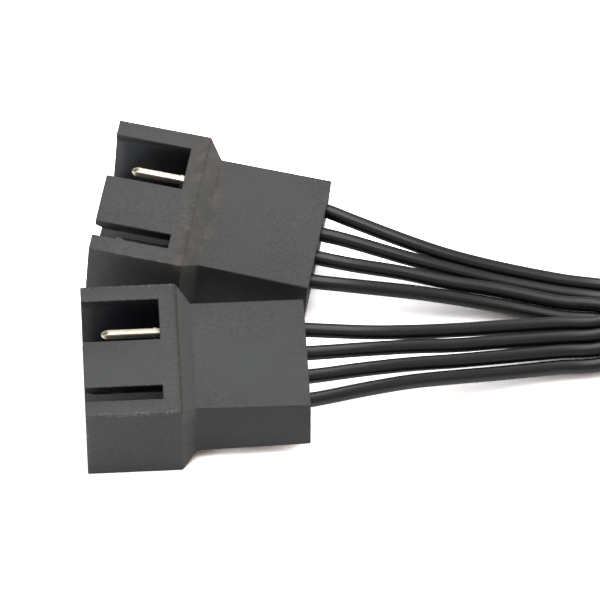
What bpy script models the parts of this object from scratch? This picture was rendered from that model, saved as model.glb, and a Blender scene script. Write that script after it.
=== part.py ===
"""Fan splitter cable: two male four-way headers on eight separate wires, gathered into one female plug.

Metres, +Z up. Both male headers open towards -X, their wires leave towards +X and lie on the table,
where they are folded into a tied hank and end in the plug. The origin is the middle of the two male
headers' footprint on the table.
"""

import math

import bmesh
import bpy
from mathutils import Euler, Vector

# Contacts
PITCH = 0.00254
WAYS = 4
PIN_SIZE = 0.00064
CLEARANCE = 0.0003

# Male housing, in its own frame: x from the mouth to the rear, y across, z up from the underside
SHELL_LENGTH = 0.00815
SHELL_WIDTH = 0.0140
SHELL_HEIGHT = 0.0081
SHELL_SIDE_WALL = 0.0016
SHELL_TOP_WALL = 0.00105
SHELL_BOTTOM_WALL = 0.00105
SOCKET_DEPTH = 0.0074
LEAD_IN = 0.00035
LEAD_IN_DEPTH = 0.0008
TAB_WIDTH = 0.00495
TAB_OFFSET = -0.00145
KEYWAY_DEPTH = 0.00665
NECK_LENGTH = 0.00125
REAR_LENGTH = 0.00975
REAR_WIDTH_FRONT = 0.01145
REAR_WIDTH_BACK = 0.01165
REAR_TOP_FRONT = 0.00685
REAR_TOP_BACK = 0.00668
REAR_BOTTOM_FRONT = 0.00095
REAR_BOTTOM_BACK = 0.00138
ROW_HEIGHT = 0.00515
CAVITY_WIDTH = 0.0019
CAVITY_HEIGHT = 0.0022
CAVITY_FRONT_WALL = 0.0015
TANG_WINDOW_LENGTH = 0.0022
TANG_WINDOW_WIDTH = 0.0013
TANG_WINDOW_START = 0.0112

# Male terminal
PIN_SETBACK = 0.00165
PIN_POINT_LENGTH = 0.00065
PIN_POINT_SIZE = 0.0003
PIN_RISE = 0.00025
TERMINAL_BOX_LENGTH = 0.0042
TERMINAL_NECK = 0.0006
TERMINAL_NECK_SIZE = 0.0007
CRIMP_LENGTH = 0.0018
CRIMP_SIZE = 0.0013
TANG_THICKNESS = 0.0002
TANG_WIDTH = 0.0007

# Where the two male housings lie, as the middle of the mouth's lower edge, and their turn about +Z.
# Its wires also hold the far one leaning back and rolled, on the near end of its shell's rear edge.
NEAR_SPOT = (-0.01045, -0.00906)
NEAR_YAW = math.radians(3.13)
FAR_SPOT = (-0.00947, 0.00917)
FAR_YAW = math.radians(-10.05)
FAR_LEAN = math.radians(4.66)
FAR_ROLL = math.radians(3.5)

# Wire
WIRE_DIAMETER = 0.00128
WIRE_STEP = 0.0028
WIRE_SAG = 0.00025

# Hank: the ribbon of wires runs right, back and right again, pinched by a tie at its middle
LANE_PITCH = 0.00133
HANK_ENTRY = (0.0458, -0.0001)
HANK_HALF_RUN = 0.0125
RUN_GAP = 0.00035
HANK_LIFT = 0.00002
TIE_WIDTH = 0.0024
TIE_THICKNESS = 0.0007
TIE_HEAD_LENGTH = 0.0038
TIE_HEAD_WIDTH = 0.0034
TIE_HEAD_HEIGHT = 0.0022

# Female plug, in its own frame: x from the rear to the mating face, z up from the table
TAIL_LENGTH = 0.0092
PLUG_LENGTH = 0.0127
PLUG_WIDTH = 0.01016
PLUG_HEIGHT = 0.0049
PLUG_ROW_HEIGHT = 0.0033
PLUG_CAVITY_WIDTH = 0.0021
PLUG_CAVITY_LOW = 0.0009
PLUG_CAVITY_HIGH = 0.0042
PLUG_FRONT_WALL = 0.0013
PLUG_HOLE = 0.0009
PLUG_RIB_WIDTH = 0.0009
PLUG_RIB_HEIGHT = 0.0011
PLUG_RIB_LENGTH = 0.0080
PLUG_RIB_CLEARANCE = 0.0002
PLUG_WINDOW_START = 0.0060
PLUG_WIRE_MIDDLE = 0.00255
PLUG_WIRE_DEPTH = 0.0026

HOUSING_LENGTH = SHELL_LENGTH + NECK_LENGTH + REAR_LENGTH
TERMINAL_BOX_START = SOCKET_DEPTH + CAVITY_FRONT_WALL + CLEARANCE
CRIMP_START = TERMINAL_BOX_START + TERMINAL_BOX_LENGTH + TERMINAL_NECK
WIRE_START = CRIMP_START + CRIMP_LENGTH + CLEARANCE
FAR_HEIGHT = SHELL_LENGTH * math.sin(FAR_LEAN) + SHELL_WIDTH / 2 * math.sin(FAR_ROLL) * math.cos(FAR_LEAN)
# The ribbon's runs lie side by side at the tie, and its innermost wire folds round three diameters.
RIBBON_HALF = (WAYS - 1) / 2 * LANE_PITCH + WIRE_DIAMETER / 2
WAIST_SPACING = 2 * RIBBON_HALF + RUN_GAP
FOLD_RADIUS = 3 * WIRE_DIAMETER + (WAYS - 1) / 2 * LANE_PITCH
HANK_MIDDLE = (HANK_ENTRY[0] + HANK_HALF_RUN, HANK_ENTRY[1] - WAIST_SPACING)
PLUG_SPOT = (HANK_MIDDLE[0] + HANK_HALF_RUN + TAIL_LENGTH, HANK_MIDDLE[1] - WAIST_SPACING)

# Each wire's path over the table after it leaves its housing, from the header to the hank
NEAR_ROUTES = [
    [(0.0137, -0.00416, 0.00451), (0.0176, -0.00374, 0.00402), (0.0215, -0.00307, 0.00342),
     (0.0254, -0.00232, 0.00286), (0.0306, -0.00145, 0.00226), (0.0341, -0.00112, 0.00206),
     (0.0395, 0.00040, 0.00202)],
    [(0.0137, -0.00599, 0.00449), (0.0175, -0.00531, 0.00398), (0.0215, -0.00469, 0.00338),
     (0.0253, -0.00390, 0.00283), (0.0306, -0.00298, 0.00224), (0.0340, -0.00254, 0.00205),
     (0.0395, -0.00102, 0.00202)],
    [(0.0136, -0.00813, 0.00445), (0.0175, -0.00719, 0.00392), (0.0215, -0.00634, 0.00330),
     (0.0253, -0.00544, 0.00270), (0.0305, -0.00434, 0.00206), (0.0340, -0.00391, 0.00186),
     (0.0395, -0.00241, 0.00200)],
    [(0.0136, -0.01027, 0.00438), (0.0175, -0.00896, 0.00376), (0.0215, -0.00785, 0.00300),
     (0.0253, -0.00689, 0.00228), (0.0305, -0.00567, 0.00154), (0.0340, -0.00521, 0.00134),
     (0.0395, -0.00380, 0.00180)],
]
FAR_ROUTES = [
    [(0.0125, 0.00836, 0.00436), (0.0170, 0.00675, 0.00362), (0.0210, 0.00565, 0.00284),
     (0.0255, 0.00490, 0.00197), (0.0308, 0.00424, 0.00114), (0.0343, 0.00396, 0.00078),
     (0.0395, 0.00313, 0.00068)],
    [(0.0125, 0.00611, 0.00420), (0.0170, 0.00502, 0.00346), (0.0210, 0.00429, 0.00268),
     (0.0255, 0.00359, 0.00180), (0.0307, 0.00294, 0.00105), (0.0342, 0.00262, 0.00074),
     (0.0395, 0.00172, 0.00067)],
    [(0.0125, 0.00367, 0.00405), (0.0170, 0.00329, 0.00338), (0.0210, 0.00272, 0.00278),
     (0.0255, 0.00232, 0.00214), (0.0307, 0.00154, 0.00148), (0.0342, 0.00137, 0.00122),
     (0.0395, 0.00035, 0.00072)],
    [(0.0125, 0.00147, 0.00388), (0.0176, 0.00145, 0.00305), (0.0210, 0.00136, 0.00242),
     (0.0255, 0.00100, 0.00166), (0.0307, 0.00030, 0.00095), (0.0342, 0.00012, 0.00069),
     (0.0395, -0.00106, 0.00067)],
]


def clear_scene():
    for obj in list(bpy.data.objects):
        bpy.data.objects.remove(obj, do_unlink=True)


def collection(name):
    made = bpy.data.collections.new(name)
    bpy.context.scene.collection.children.link(made)
    return made


def material(name, colour, roughness, metallic=0.0):
    made = bpy.data.materials.new(name)
    made.use_nodes = True
    shader = made.node_tree.nodes["Principled BSDF"]
    shader.inputs["Base Color"].default_value = (*colour, 1.0)
    shader.inputs["Roughness"].default_value = roughness
    shader.inputs["Metallic"].default_value = metallic
    return made


def add_object(name, data, group, finish=None, parent=None):
    obj = bpy.data.objects.new(name, data)
    group.objects.link(obj)
    obj.parent = parent
    if finish:
        data.materials.append(finish)
    return obj


def add_box(bm, low, high):
    """One closed box between two corners."""
    made = bmesh.ops.create_cube(bm, size=1.0)["verts"]
    for vert in made:
        for axis in range(3):
            middle = (low[axis] + high[axis]) / 2
            vert.co[axis] = middle + vert.co[axis] * (high[axis] - low[axis])
    return made


def add_loft(bm, sections):
    """One closed body through rectangles that stand across x: (x, low y, high y, low z, high z)."""
    rings = []
    for x, y0, y1, z0, z1 in sections:
        corners = ((y0, z0), (y1, z0), (y1, z1), (y0, z1))
        rings.append([bm.verts.new((x, y, z)) for y, z in corners])
    bm.faces.new(rings[0][::-1])
    bm.faces.new(rings[-1])
    for first, second in zip(rings, rings[1:]):
        for i in range(4):
            k = (i + 1) % 4
            bm.faces.new((first[i], first[k], second[k], second[i]))


def square(x, y, z, size, height=None):
    """A loft section centred on a point, square unless a height is given."""
    half, half_height = size / 2, (height or size) / 2
    return (x, y - half, y + half, z - half_height, z + half_height)


def mesh_from(bm, name):
    bmesh.ops.recalc_face_normals(bm, faces=bm.faces)
    mesh = bpy.data.meshes.new(name)
    bm.to_mesh(mesh)
    bm.free()
    return mesh


def contact_offsets():
    """The contacts' places across a housing, from the far side to the near side."""
    return [((WAYS - 1) / 2 - i) * PITCH for i in range(WAYS)]


def cut(obj, name, bm, cutters):
    """Cuts the closed boxes of a bmesh out of an object, in that object's own frame."""
    cutter = add_object(name, mesh_from(bm, name), cutters, parent=obj.parent)
    cutter.hide_render = True
    cutter.display_type = "WIRE"
    modifier = obj.modifiers.new(name, "BOOLEAN")
    modifier.operation = "DIFFERENCE"
    modifier.solver = "EXACT"
    modifier.object = cutter


def join(obj, name, bm, cutters):
    """Joins one closed body of a bmesh to an object, in that object's own frame."""
    cut(obj, name, bm, cutters)
    obj.modifiers[name].operation = "UNION"


def place_empty(name, spot, height, turn, group):
    empty = bpy.data.objects.new(name, None)
    group.objects.link(empty)
    empty.location = (*spot, height)
    empty.rotation_mode = "XYZ"
    empty.rotation_euler = Euler(turn)
    return empty


# Male housing

def male_housing(name, place, group, cutters, finish):
    half = SHELL_WIDTH / 2
    front, back = REAR_WIDTH_FRONT / 2, REAR_WIDTH_BACK / 2
    bm = bmesh.new()
    add_loft(bm, [
        (0, -half, half, 0, SHELL_HEIGHT),
        (SHELL_LENGTH, -half, half, 0, SHELL_HEIGHT),
        (SHELL_LENGTH + NECK_LENGTH, -front, front, REAR_BOTTOM_FRONT, REAR_TOP_FRONT),
        (HOUSING_LENGTH, -back, back, REAR_BOTTOM_BACK, REAR_TOP_BACK),
    ])
    housing = add_object(name, mesh_from(bm, name), group, finish, place)
    cut_socket(housing, cutters)
    cut_keyways(housing, cutters)
    cut_contact_cavities(housing, cutters)
    return housing


def cut_socket(housing, cutters):
    """The open mouth, with a short lead-in all round."""
    inner = SHELL_WIDTH / 2 - SHELL_SIDE_WALL
    low, high = SHELL_BOTTOM_WALL, SHELL_HEIGHT - SHELL_TOP_WALL
    wide = inner + LEAD_IN
    bm = bmesh.new()
    add_loft(bm, [
        (-LEAD_IN_DEPTH, -wide, wide, low - LEAD_IN, high + LEAD_IN),
        (0, -wide, wide, low - LEAD_IN, high + LEAD_IN),
        (LEAD_IN_DEPTH, -inner, inner, low, high),
        (SOCKET_DEPTH, -inner, inner, low, high),
    ])
    cut(housing, housing.name + "_socket", bm, cutters)


def cut_keyways(housing, cutters):
    """The wide and the slim opening in the top wall, either side of the keying tab."""
    inner = SHELL_WIDTH / 2 - SHELL_SIDE_WALL
    tab_near, tab_far = TAB_OFFSET - TAB_WIDTH / 2, TAB_OFFSET + TAB_WIDTH / 2
    low, high = SHELL_HEIGHT - 2 * SHELL_TOP_WALL, SHELL_HEIGHT + SHELL_TOP_WALL
    bm = bmesh.new()
    add_box(bm, (-LEAD_IN_DEPTH, tab_far, low), (KEYWAY_DEPTH, inner, high))
    add_box(bm, (-LEAD_IN_DEPTH, -inner, low), (KEYWAY_DEPTH, tab_near, high))
    cut(housing, housing.name + "_keyways", bm, cutters)


def cut_contact_cavities(housing, cutters):
    """A cavity for each terminal, open at the rear, a pin hole into the socket and a tang window below."""
    cavity_start = SOCKET_DEPTH + CAVITY_FRONT_WALL
    beyond = HOUSING_LENGTH + CAVITY_FRONT_WALL
    hole = PIN_SIZE + 2 * CLEARANCE
    pin_height = ROW_HEIGHT + PIN_RISE
    window_end = TANG_WINDOW_START + TANG_WINDOW_LENGTH
    cavities, holes, windows = bmesh.new(), bmesh.new(), bmesh.new()
    for y in contact_offsets():
        half, tall = CAVITY_WIDTH / 2, CAVITY_HEIGHT / 2
        add_box(cavities, (cavity_start, y - half, ROW_HEIGHT - tall), (beyond, y + half, ROW_HEIGHT + tall))
        add_box(
            holes,
            (SOCKET_DEPTH - hole / 2, y - hole / 2, pin_height - hole / 2),
            (cavity_start + hole / 2, y + hole / 2, pin_height + hole / 2),
        )
        add_box(
            windows,
            (TANG_WINDOW_START, y - TANG_WINDOW_WIDTH / 2, -SHELL_BOTTOM_WALL),
            (window_end, y + TANG_WINDOW_WIDTH / 2, ROW_HEIGHT),
        )
    cut(housing, housing.name + "_cavities", cavities, cutters)
    cut(housing, housing.name + "_pin_holes", holes, cutters)
    cut(housing, housing.name + "_tang_windows", windows, cutters)


# Male terminal: a square pin, its box, a locking tang and a crimp, folded from one strip

def male_terminal(name, y, place, group, cutters, finish):
    z = ROW_HEIGHT
    box_end = TERMINAL_BOX_START + TERMINAL_BOX_LENGTH
    box_width = CAVITY_WIDTH - 2 * CLEARANCE
    box_height = CAVITY_HEIGHT - 2 * CLEARANCE
    bm = bmesh.new()
    add_loft(bm, [
        square(PIN_SETBACK, y, z + PIN_RISE, PIN_POINT_SIZE),
        square(PIN_SETBACK + PIN_POINT_LENGTH, y, z + PIN_RISE, PIN_SIZE),
        square(TERMINAL_BOX_START, y, z + PIN_RISE, PIN_SIZE),
        square(TERMINAL_BOX_START, y, z, box_width, box_height),
        square(box_end, y, z, box_width, box_height),
        square(box_end, y, z, TERMINAL_NECK_SIZE),
        square(CRIMP_START, y, z, TERMINAL_NECK_SIZE),
        square(CRIMP_START, y, z, CRIMP_SIZE),
        square(CRIMP_START + CRIMP_LENGTH, y, z, CRIMP_SIZE),
    ])
    terminal = add_object(name, mesh_from(bm, name), group, finish, place)
    join(terminal, name + "_tang", tang(y, z - box_height / 2), cutters)
    return terminal


def tang(y, under_box):
    """The sprung tongue that drops into the window below and stops the terminal from pulling out."""
    root = TANG_WINDOW_START + CLEARANCE
    tip = TANG_WINDOW_START + TANG_WINDOW_LENGTH - CLEARANCE
    drop = CAVITY_HEIGHT / 2 - (ROW_HEIGHT - under_box) + 2 * TANG_THICKNESS
    half = TANG_WIDTH / 2
    bm = bmesh.new()
    add_loft(bm, [
        (root, y - half, y + half, under_box - TANG_THICKNESS / 2, under_box + TANG_THICKNESS),
        (tip, y - half, y + half, under_box - drop - TANG_THICKNESS, under_box - drop),
    ])
    return bm


# Wires

def smooth_points(knots, step):
    """Points a step apart, read from one smooth curve through the given points."""
    knots = [Vector(k) for k in knots]
    ends = [2 * knots[0] - knots[1]] + knots + [2 * knots[-1] - knots[-2]]
    dense = []
    for a, b, c, d in zip(ends, ends[1:], ends[2:], ends[3:]):
        for i in range(16):
            t = i / 16
            dense.append(0.5 * (
                2 * b + (c - a) * t + (2 * a - 5 * b + 4 * c - d) * t ** 2
                + (3 * b - a - 3 * c + d) * t ** 3
            ))
    dense.append(knots[-1])
    gaps = [(q - p).length for p, q in zip(dense, dense[1:])]
    count = max(2, round(sum(gaps) / step))
    points, reached, i = [dense[0]], 0.0, 0
    for n in range(1, count):
        target = sum(gaps) * n / count
        while reached + gaps[i] < target:
            reached += gaps[i]
            i += 1
        points.append(dense[i].lerp(dense[i + 1], (target - reached) / gaps[i]))
    return points + [dense[-1]]


def wire(name, knots, group, finish):
    """One insulated wire: a round tube with closed ends."""
    curve = bpy.data.curves.new(name, "CURVE")
    curve.dimensions = "3D"
    curve.bevel_depth = WIRE_DIAMETER / 2
    curve.bevel_resolution = 2
    curve.use_fill_caps = True
    points = smooth_points(knots, WIRE_STEP)
    spline = curve.splines.new("POLY")
    spline.points.add(len(points) - 1)
    for point, place in zip(spline.points, points):
        point.co = (*place, 1.0)
    return add_object(name, curve, group, finish)


def exit_knots(place, y):
    """A wire's first points: behind its crimp, and where it leaves the housing."""
    local = [(WIRE_START, y, ROW_HEIGHT), (HOUSING_LENGTH, y, ROW_HEIGHT - WIRE_SAG)]
    return [place.matrix_world @ Vector(p) for p in local]


def lane(i, layer):
    """The sideways place and height of a wire in the ribbon: far wires below, near wires above."""
    sideways = ((WAYS - 1) / 2 - i) * LANE_PITCH
    return sideways, WIRE_DIAMETER / 2 + HANK_LIFT + layer * LANE_PITCH


def hank_entry(i, layer):
    sideways, z = lane(i, layer)
    x = HANK_MIDDLE[0] - HANK_HALF_RUN - CLEARANCE
    return (x, HANK_MIDDLE[1] + WAIST_SPACING + sideways, z)


def tail_knots(i, layer):
    """From the hank's last run to a cavity of the plug, the two wires of one contact above each other."""
    sideways, z = lane(i, layer)
    start = HANK_MIDDLE[0] + HANK_HALF_RUN + CLEARANCE
    y = HANK_MIDDLE[1] - WAIST_SPACING + sideways
    end_y = PLUG_SPOT[1] + contact_offsets()[i]
    end_z = PLUG_WIRE_MIDDLE + (layer - 0.5) * LANE_PITCH
    rear = PLUG_SPOT[0]
    span = rear - start
    return [
        (start, y, z),
        (start + 0.30 * span, y + 0.14 * (end_y - y), z + 0.10 * (end_z - z)),
        (start + 0.68 * span, y + 0.82 * (end_y - y), z + 0.80 * (end_z - z)),
        (rear, end_y, end_z),
        (rear + PLUG_WIRE_DEPTH, end_y, end_z),
    ]


# Hank and tie

def hank_outline():
    """The outline round the three runs and two folds, as points about the hank's middle."""
    side = WAIST_SPACING + RIBBON_HALF
    rise = 2 * FOLD_RADIUS - WAIST_SPACING
    half = HANK_HALF_RUN
    upper = [Vector((-half, WAIST_SPACING - RIBBON_HALF)), Vector((-half, side)), Vector((0, side))]
    for n in range(1, 8):
        t = n / 8
        upper.append(Vector((half * t, side + rise * t * t * (3 - 2 * t))))
    radius = FOLD_RADIUS + RIBBON_HALF
    for n in range(17):
        turn = math.pi * n / 16
        upper.append(Vector((half + radius * math.sin(turn), FOLD_RADIUS + radius * math.cos(turn))))
    return upper + [-point for point in upper]


def hank(name, group, cutters, finish):
    """One closed solid of the folded wires' outer shape, with a groove below for the tie."""
    curve = bpy.data.curves.new(name, "CURVE")
    curve.dimensions = "2D"
    curve.fill_mode = "BOTH"
    height = WIRE_DIAMETER + LANE_PITCH
    curve.extrude = height / 2
    outline = hank_outline()
    spline = curve.splines.new("POLY")
    spline.points.add(len(outline) - 1)
    for point, place in zip(spline.points, outline):
        point.co = (place.x, place.y, 0.0, 1.0)
    spline.use_cyclic_u = True
    guide = add_object(name + "_outline", curve, cutters)
    guide.location = (*HANK_MIDDLE, HANK_LIFT + height / 2)
    body = mesh_of_curve(guide, name, group, finish)
    groove_top = TIE_THICKNESS + CLEARANCE + HANK_LIFT
    wide = TIE_WIDTH / 2 + CLEARANCE
    reach = WAIST_SPACING + 2 * FOLD_RADIUS
    bm = bmesh.new()
    add_box(
        bm,
        (HANK_MIDDLE[0] - wide, HANK_MIDDLE[1] - reach, -groove_top),
        (HANK_MIDDLE[0] + wide, HANK_MIDDLE[1] + reach, groove_top),
    )
    cut(body, name + "_groove", bm, cutters)
    return body


def mesh_of_curve(guide, name, group, finish):
    """Turns a curve into a closed mesh object that Booleans can use."""
    bpy.context.view_layer.update()
    graph = bpy.context.evaluated_depsgraph_get()
    mesh = bpy.data.meshes.new_from_object(guide.evaluated_get(graph))
    bm = bmesh.new()
    bm.from_mesh(mesh)
    bmesh.ops.remove_doubles(bm, verts=bm.verts, dist=1e-6)
    bmesh.ops.recalc_face_normals(bm, faces=bm.faces)
    bm.to_mesh(mesh)
    bm.free()
    mesh.name = name
    body = add_object(name, mesh, group, finish)
    body.matrix_world = guide.matrix_world
    bpy.data.objects.remove(guide, do_unlink=True)
    return body


def rounded_rectangle(width, height, radius, segments=5):
    corners = [(1, 1, 0), (-1, 1, 90), (-1, -1, 180), (1, -1, 270)]
    points = []
    for sx, sy, start in corners:
        for n in range(segments + 1):
            turn = math.radians(start + 90 * n / segments)
            points.append((
                sx * (width / 2 - radius) + radius * math.cos(turn),
                sy * (height / 2 - radius) + radius * math.sin(turn),
            ))
    return points


def hank_tie(name, group, cutters, finish):
    """A small nylon cable tie round the hank's waist, with its head on top."""
    inner_width = 2 * (WAIST_SPACING + RIBBON_HALF + CLEARANCE)
    inner_low = TIE_THICKNESS + HANK_LIFT
    inner_high = inner_low + CLEARANCE + WIRE_DIAMETER + LANE_PITCH
    middle = (inner_low + inner_high) / 2
    curve = bpy.data.curves.new(name, "CURVE")
    curve.dimensions = "2D"
    curve.fill_mode = "BOTH"
    curve.extrude = TIE_WIDTH / 2
    corner = WIRE_DIAMETER / 2
    for grow in (0.0, TIE_THICKNESS):
        points = rounded_rectangle(inner_width + 2 * grow, inner_high - inner_low + 2 * grow, corner + grow)
        spline = curve.splines.new("POLY")
        spline.points.add(len(points) - 1)
        for point, place in zip(spline.points, points):
            point.co = (*place, 0.0, 1.0)
        spline.use_cyclic_u = True
    guide = add_object(name + "_loop", curve, cutters)
    guide.rotation_euler = Euler((math.pi / 2, 0, math.pi / 2))
    guide.location = (*HANK_MIDDLE, middle)
    tie = mesh_of_curve(guide, name, group, finish)
    head = bmesh.new()
    centre_y = -inner_width / 4
    add_box(
        head,
        (-TIE_HEAD_WIDTH / 2, centre_y - TIE_HEAD_LENGTH / 2, inner_high + TIE_THICKNESS * 0.35),
        (TIE_HEAD_WIDTH / 2, centre_y + TIE_HEAD_LENGTH / 2, inner_high + TIE_HEAD_HEIGHT),
    )
    bmesh.ops.translate(head, verts=head.verts, vec=(*HANK_MIDDLE, 0))
    join(tie, name + "_head", head, cutters)
    return tie


# Female plug

def plug_housing(name, place, group, cutters, finish):
    half = PLUG_WIDTH / 2
    bm = bmesh.new()
    add_box(bm, (0, -half, 0), (PLUG_LENGTH, half, PLUG_HEIGHT))
    plug = add_object(name, mesh_from(bm, name), group, finish, place)
    tab_near, tab_far = TAB_OFFSET - TAB_WIDTH / 2, TAB_OFFSET + TAB_WIDTH / 2
    ribs = {
        "near": (tab_near - PLUG_RIB_CLEARANCE - PLUG_RIB_WIDTH, tab_near - PLUG_RIB_CLEARANCE),
        "far": (tab_far + PLUG_RIB_CLEARANCE, tab_far + PLUG_RIB_CLEARANCE + PLUG_RIB_WIDTH),
    }
    for side, (low, high) in ribs.items():
        rib = bmesh.new()
        top = PLUG_HEIGHT + PLUG_RIB_HEIGHT
        start = PLUG_LENGTH - PLUG_RIB_LENGTH
        add_loft(rib, [
            (start, low, high, PLUG_HEIGHT - PLUG_RIB_HEIGHT / 2, PLUG_HEIGHT + PLUG_RIB_HEIGHT / 4),
            (start + PLUG_RIB_HEIGHT, low, high, PLUG_HEIGHT - PLUG_RIB_HEIGHT / 2, top),
            (PLUG_LENGTH - PLUG_RIB_HEIGHT / 2, low, high, PLUG_HEIGHT - PLUG_RIB_HEIGHT / 2, top),
            (PLUG_LENGTH, low, high, PLUG_HEIGHT - PLUG_RIB_HEIGHT / 2, top - PLUG_RIB_HEIGHT / 2),
        ])
        join(plug, name + "_rib_" + side, rib, cutters)
    cut_plug_cavities(plug, cutters)
    return plug


def cut_plug_cavities(plug, cutters):
    """A cavity for each contact, its hole in the mating face and its tang window in the smooth side."""
    cavity_end = PLUG_LENGTH - PLUG_FRONT_WALL
    cavities, holes, windows = bmesh.new(), bmesh.new(), bmesh.new()
    for y in contact_offsets():
        half = PLUG_CAVITY_WIDTH / 2
        add_box(
            cavities,
            (-PLUG_FRONT_WALL, y - half, PLUG_CAVITY_LOW),
            (cavity_end, y + half, PLUG_CAVITY_HIGH),
        )
        hole = PLUG_HOLE / 2
        add_box(
            holes,
            (cavity_end - hole, y - hole, PLUG_ROW_HEIGHT - hole),
            (PLUG_LENGTH + hole, y + hole, PLUG_ROW_HEIGHT + hole),
        )
        add_box(
            windows,
            (PLUG_WINDOW_START, y - TANG_WINDOW_WIDTH / 2, -PLUG_CAVITY_LOW),
            (PLUG_WINDOW_START + TANG_WINDOW_LENGTH, y + TANG_WINDOW_WIDTH / 2, PLUG_CAVITY_LOW * 1.5),
        )
    cut(plug, plug.name + "_cavities", cavities, cutters)
    cut(plug, plug.name + "_holes", holes, cutters)
    cut(plug, plug.name + "_windows", windows, cutters)


def plug_contact(name, y, place, group, cutters, finish):
    """A folded receptacle with a square way in for the pin, and a crimp that holds two wires."""
    front = PLUG_LENGTH - PLUG_FRONT_WALL - CLEARANCE
    box_width = PLUG_CAVITY_WIDTH - 2 * CLEARANCE
    box_low, box_high = PLUG_CAVITY_LOW + CLEARANCE, PLUG_CAVITY_HIGH - CLEARANCE
    crimp_end = PLUG_WIRE_DEPTH + CLEARANCE
    crimp_front = crimp_end + CRIMP_LENGTH
    half, crimp = box_width / 2, CRIMP_SIZE / 2
    neck_low = box_low + TANG_THICKNESS
    bm = bmesh.new()
    add_loft(bm, [
        (crimp_end, y - crimp, y + crimp, box_low, box_high),
        (crimp_front, y - crimp, y + crimp, box_low, box_high),
        (crimp_front, y - crimp / 2, y + crimp / 2, neck_low, PLUG_ROW_HEIGHT),
        (PLUG_WINDOW_START, y - crimp / 2, y + crimp / 2, neck_low, PLUG_ROW_HEIGHT),
        (PLUG_WINDOW_START, y - half, y + half, box_low, box_high),
        (front, y - half, y + half, box_low, box_high),
    ])
    contact = add_object(name, mesh_from(bm, name), group, finish, place)
    way_in = bmesh.new()
    hole = PLUG_HOLE / 2
    add_box(
        way_in,
        (PLUG_WINDOW_START + PLUG_HOLE, y - hole, PLUG_ROW_HEIGHT - hole),
        (front + PLUG_HOLE, y + hole, PLUG_ROW_HEIGHT + hole),
    )
    cut(contact, name + "_way_in", way_in, cutters)
    return contact


def build():
    clear_scene()
    group = collection("fan_splitter_cable")
    cutters = collection("cutters")
    black = material("black_nylon", (0.065, 0.065, 0.066), 0.55)
    tinned = material("gold_plate", (0.80, 0.68, 0.42), 0.25, 1.0)
    insulation = material("black_pvc", (0.012, 0.012, 0.014), 0.32)
    strap = material("tie_nylon", (0.02, 0.02, 0.022), 0.45)

    places = {
        "near": place_empty("near_place", NEAR_SPOT, 0, (0, 0, NEAR_YAW), group),
        "far": place_empty("far_place", FAR_SPOT, FAR_HEIGHT, (FAR_ROLL, FAR_LEAN, FAR_YAW), group),
    }
    plug_place = place_empty("plug_place", PLUG_SPOT, 0, (0, 0, 0), group)
    bpy.context.view_layer.update()

    for side, routes, layer in (("near", NEAR_ROUTES, 1), ("far", FAR_ROUTES, 0)):
        place = places[side]
        male_housing(side + "_male_housing", place, group, cutters, black)
        for i, y in enumerate(contact_offsets()):
            male_terminal(f"{side}_male_terminal_{i + 1}", y, place, group, cutters, tinned)
            knots = exit_knots(place, y) + routes[i] + [hank_entry(i, layer)]
            wire(f"{side}_wire_{i + 1}", knots, group, insulation)
            wire(f"{side}_tail_{i + 1}", tail_knots(i, layer), group, insulation)

    hank("wire_hank", group, cutters, insulation)
    hank_tie("hank_tie", group, cutters, strap)

    plug_housing("plug_housing", plug_place, group, cutters, black)
    for i, y in enumerate(contact_offsets()):
        plug_contact(f"plug_contact_{i + 1}", y, plug_place, group, cutters, tinned)


build()
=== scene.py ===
import math

import bmesh
import bpy
from mathutils import Euler, Matrix, Vector


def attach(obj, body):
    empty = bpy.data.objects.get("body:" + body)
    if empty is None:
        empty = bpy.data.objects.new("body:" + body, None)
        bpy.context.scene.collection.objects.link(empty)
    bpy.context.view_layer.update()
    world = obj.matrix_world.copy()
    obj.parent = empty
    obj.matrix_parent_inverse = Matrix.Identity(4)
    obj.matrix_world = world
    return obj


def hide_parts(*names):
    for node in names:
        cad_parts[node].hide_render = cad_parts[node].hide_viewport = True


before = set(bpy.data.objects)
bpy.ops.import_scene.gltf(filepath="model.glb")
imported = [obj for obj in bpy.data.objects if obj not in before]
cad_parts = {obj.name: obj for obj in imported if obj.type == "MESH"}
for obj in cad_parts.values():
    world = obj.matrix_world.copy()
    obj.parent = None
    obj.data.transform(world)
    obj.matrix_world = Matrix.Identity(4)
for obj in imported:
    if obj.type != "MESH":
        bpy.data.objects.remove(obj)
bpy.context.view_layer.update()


# Camera
# A long lens from well above the table, looking along +Y down onto both headers.
photo_camera = bpy.data.objects.new("photo_camera", bpy.data.cameras.new("photo_camera"))
bpy.context.scene.collection.objects.link(photo_camera)
photo_camera.location = (0.0080635, -0.3577839, 0.4548882)
photo_camera.rotation_euler = Euler((math.radians(38.416), 0.0, 0.0))
photo_camera.data.lens = 399.2
photo_camera.data.sensor_width = 36.0
photo_camera.data.clip_start = 0.01
photo_camera.data.clip_end = 20.0
bpy.context.scene.camera = photo_camera


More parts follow.
